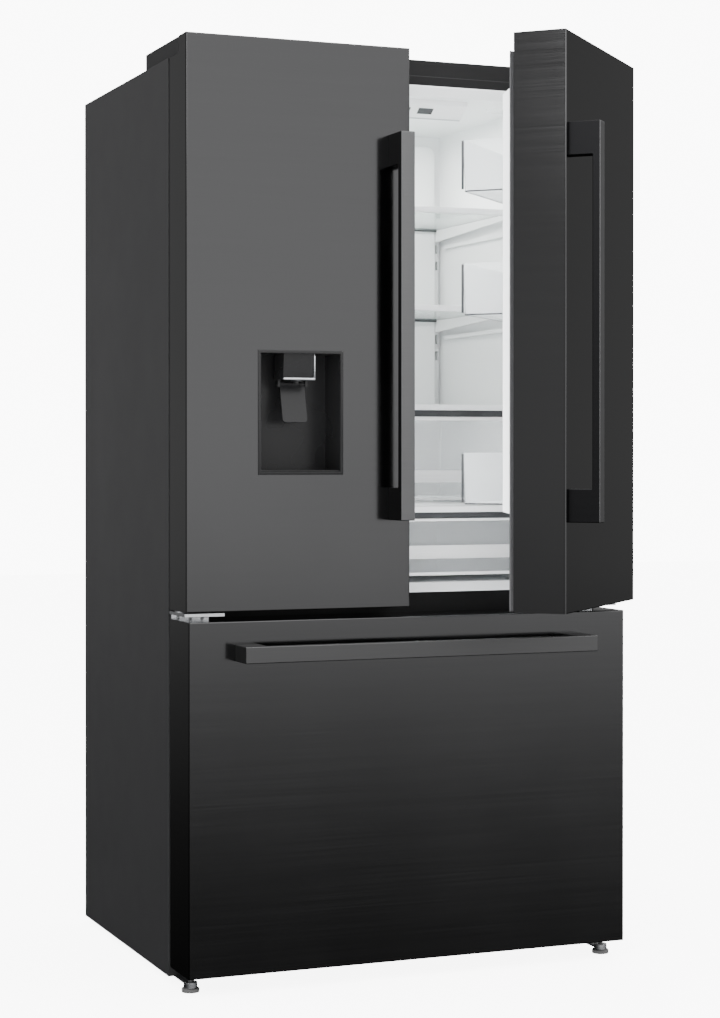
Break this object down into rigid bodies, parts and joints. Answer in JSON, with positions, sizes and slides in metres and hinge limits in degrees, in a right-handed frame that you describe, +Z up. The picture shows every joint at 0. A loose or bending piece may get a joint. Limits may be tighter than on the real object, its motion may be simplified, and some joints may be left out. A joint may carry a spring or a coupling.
{
  "type": "french door refrigerator",
  "caption": "French door refrigerator with a bottom freezer drawer, bar handles and a water dispenser; one upper door stands ajar.",
  "frame": {"origin": "centre of the cabinet's flat underside, 14.5 mm above the floor that the feet stand on", "axes": "+Z up, -Y towards the user at the front, +X to the right of someone facing the doors"},
  "size_m": [0.954, 1.0385, 1.787],
  "materials": {
    "door_steel": "dark brushed, satin",
    "case_paint": "fine texture, satin",
    "galvanised": "zinc",
    "foam": "rigid foam",
    "dark_plastic": "satin",
    "white_liner": "semi-gloss",
    "panel_white": "satin",
    "track_white": "satin",
    "trim_silver": "satin",
    "light_lens": "diffuse",
    "shelf_glass": "clear",
    "clear_plastic": "clear",
    "gasket": "matt",
    "handle_steel": "brushed along its length",
    "hinge_metal": "bright",
    "foot_plastic": "matt",
    "basket_plastic": "translucent",
    "fin_aluminium": "plain",
    "compressor_black": "gloss",
    "rail_steel": "zinc"
  },
  "bodies": {
    "cabinet": {"outer_case": "case_paint", "back_panel": "galvanised", "base_plate": "galvanised", "cabinet_foam": "foam", "front_frame": "dark_plastic", "fresh_food_liner": "white_liner", "freezer_liner": "white_liner", "air_duct_panel": "panel_white", "shelf_tracks": "track_white", "control_panel": "panel_white", "ceiling_light": "light_lens", "shelf_glass": "shelf_glass", "shelf_frames": "panel_white", "crisper_cover": "panel_white", "crisper_base_shelf": "panel_white", "top_cover": "dark_plastic", "door_hinges": "hinge_metal", "leg_brackets": "hinge_metal", "compressor": "compressor_black", "condenser": "fin_aluminium", "condenser_fan_shroud": "dark_plastic", "drain_pan": "dark_plastic", "machine_cover": "galvanised", "evaporator": "fin_aluminium", "evaporator_cover": "panel_white", "cabinet_rails": "rail_steel"},
    "left_foot": {"left_foot": "foot_plastic"},
    "right_foot": {"right_foot": "foot_plastic"},
    "rear_rollers": {"rear_rollers": "foot_plastic"},
    "condenser_fan": {"condenser_fan": "dark_plastic"},
    "evaporator_fan": {"evaporator_fan": "dark_plastic"},
    "left_crisper": {"left_crisper": "clear_plastic"},
    "right_crisper": {"right_crisper": "clear_plastic"},
    "pantry_drawer": {"pantry_drawer": "clear_plastic"},
    "freezer_drawer": {"drawer_panel": "door_steel", "drawer_foam": "foam", "drawer_liner": "white_liner", "drawer_gasket": "gasket", "drawer_handle": "handle_steel", "drawer_rails": "rail_steel", "lower_basket": "basket_plastic"},
    "middle_rails": {"middle_rails": "rail_steel"},
    "upper_basket": {"upper_basket": "basket_plastic"},
    "left_door": {"left_door_panel": "door_steel", "left_door_foam": "foam", "left_door_liner": "white_liner", "left_door_gasket": "gasket", "left_handle": "handle_steel", "left_door_bins": "clear_plastic", "water_tank": "clear_plastic", "dispenser_housing": "dark_plastic", "dispenser_outlet": "dark_plastic"},
    "dispenser_paddle": {"dispenser_paddle": "dark_plastic"},
    "mullion_flap": {"mullion_flap": "dark_plastic"},
    "right_door": {"right_door_panel": "door_steel", "right_door_foam": "foam", "right_door_liner": "white_liner", "right_door_gasket": "gasket", "right_handle": "handle_steel", "right_door_bins": "clear_plastic"}
  },
  "joints": [
    {"name": "left_door", "type": "hinge", "parent": "cabinet", "child": "left_door", "pos_m": [-0.4445, -0.3442, 0.6975], "axis": [0, 0, -1], "range_deg": [0, 125]},
    {"name": "right_door", "type": "hinge", "parent": "cabinet", "child": "right_door", "pos_m": [0.4445, -0.3442, 0.6975], "axis": [0, 0, 1], "range_deg": [-45, 75]},
    {"name": "mullion_flap", "type": "hinge", "parent": "left_door", "child": "mullion_flap", "pos_m": [-0.022, -0.2954, 1.2205], "axis": [0, 0, 1], "range_deg": [0, 80]},
    {"name": "dispenser_paddle", "type": "hinge", "parent": "left_door", "child": "dispenser_paddle", "pos_m": [-0.228, -0.3644, 1.1255], "axis": [1, 0, 0], "range_deg": [0, 12], "stiffness_Nm_per_rad": 0.05, "springref_deg": -2.86},
    {"name": "freezer_drawer", "type": "slide", "parent": "cabinet", "child": "freezer_drawer", "axis": [0, -1, 0], "range_m": [0, 0.42]},
    {"name": "middle_rails", "type": "slide", "parent": "cabinet", "child": "middle_rails", "axis": [0, -1, 0], "range_m": [0, 0.21]},
    {"name": "upper_basket", "type": "slide", "parent": "cabinet", "child": "upper_basket", "axis": [0, -1, 0], "range_m": [0, 0.21]},
    {"name": "left_crisper", "type": "slide", "parent": "cabinet", "child": "left_crisper", "axis": [0, -1, 0], "range_m": [0, 0.1]},
    {"name": "right_crisper", "type": "slide", "parent": "cabinet", "child": "right_crisper", "axis": [0, -1, 0], "range_m": [0, 0.1]},
    {"name": "pantry_drawer", "type": "slide", "parent": "cabinet", "child": "pantry_drawer", "axis": [0, -1, 0], "range_m": [0, 0.015]},
    {"name": "left_foot", "type": "hinge", "parent": "cabinet", "child": "left_foot", "pos_m": [-0.433, -0.3724, 0], "axis": [0, 0, 1], "continuous": true},
    {"name": "right_foot", "type": "hinge", "parent": "cabinet", "child": "right_foot", "pos_m": [0.433, -0.3724, 0], "axis": [0, 0, 1], "continuous": true},
    {"name": "rear_rollers", "type": "hinge", "parent": "cabinet", "child": "rear_rollers", "pos_m": [0, 0.25, 0.0025], "axis": [1, 0, 0], "continuous": true},
    {"name": "condenser_fan", "type": "hinge", "parent": "cabinet", "child": "condenser_fan", "pos_m": [0.112, 0.172, 0.09], "axis": [0, 1, 0], "continuous": true},
    {"name": "evaporator_fan", "type": "hinge", "parent": "cabinet", "child": "evaporator_fan", "pos_m": [0, 0.157, 0.56], "axis": [0, 1, 0], "continuous": true}
  ],
  "couplings": [
    {"joint": "mullion_flap", "follows": "left_door", "ratio": 0.64},
    {"joint": "middle_rails", "follows": "freezer_drawer", "ratio": 0.5},
    {"joint": "upper_basket", "follows": "freezer_drawer", "ratio": 0.5}
  ]
}
